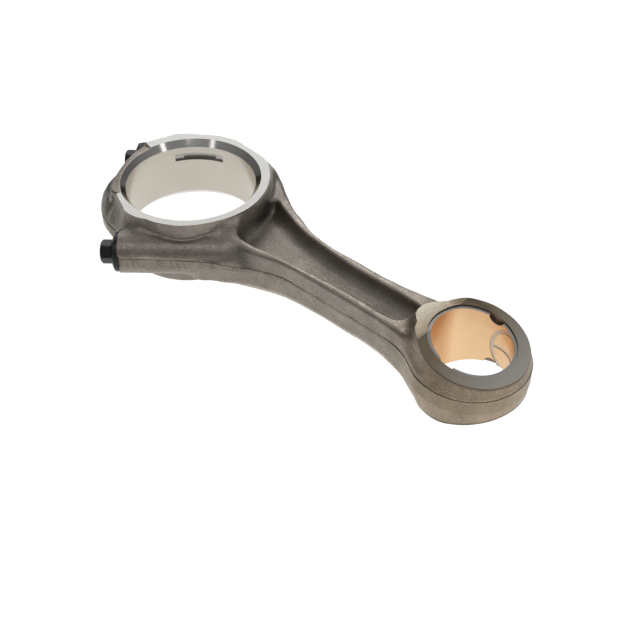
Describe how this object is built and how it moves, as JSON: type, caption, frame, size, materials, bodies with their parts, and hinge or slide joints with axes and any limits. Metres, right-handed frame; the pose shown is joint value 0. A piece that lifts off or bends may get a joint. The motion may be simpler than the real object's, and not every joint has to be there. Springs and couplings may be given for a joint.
{
  "type": "connecting rod",
  "caption": "Forged I-beam connecting rod with an obliquely fracture-split bearing cap held by flange bolts, a tapered small end and a bronze-lined bush.",
  "frame": {"origin": "centre of the big-end bore at mid-thickness", "axes": "+X along the shank from the big end to the small end, +Z along the crankpin axis, +Y completes a right-handed frame"},
  "size_m": [0.3243, 0.1369, 0.0422],
  "materials": {
    "forged_steel": "shot-blasted forging with ground faces and bored holes",
    "black_oxide_steel": "black oxide, satin",
    "bush_steel": "turned",
    "bush_bronze": "fine bored, satin"
  },
  "bodies": {
    "rod": {"rod_forging": "forged_steel", "bush_backing": "bush_steel", "bush_lining": "bush_bronze"},
    "cap": {"bearing_cap": "forged_steel"},
    "near_bolt": {"cap_bolt_near": "black_oxide_steel"},
    "far_bolt": {"cap_bolt_far": "black_oxide_steel"}
  },
  "joints": [
    {"name": "cap_removal", "type": "slide", "parent": "rod", "child": "cap", "axis": [-0.766, -0.6428, 0], "range_m": [0, 0.05]},
    {"name": "near_bolt_removal", "type": "slide", "parent": "cap", "child": "near_bolt", "axis": [-0.766, -0.6428, 0], "range_m": [0, 0.064]},
    {"name": "far_bolt_removal", "type": "slide", "parent": "cap", "child": "far_bolt", "axis": [-0.766, -0.6428, 0], "range_m": [0, 0.064]}
  ]
}
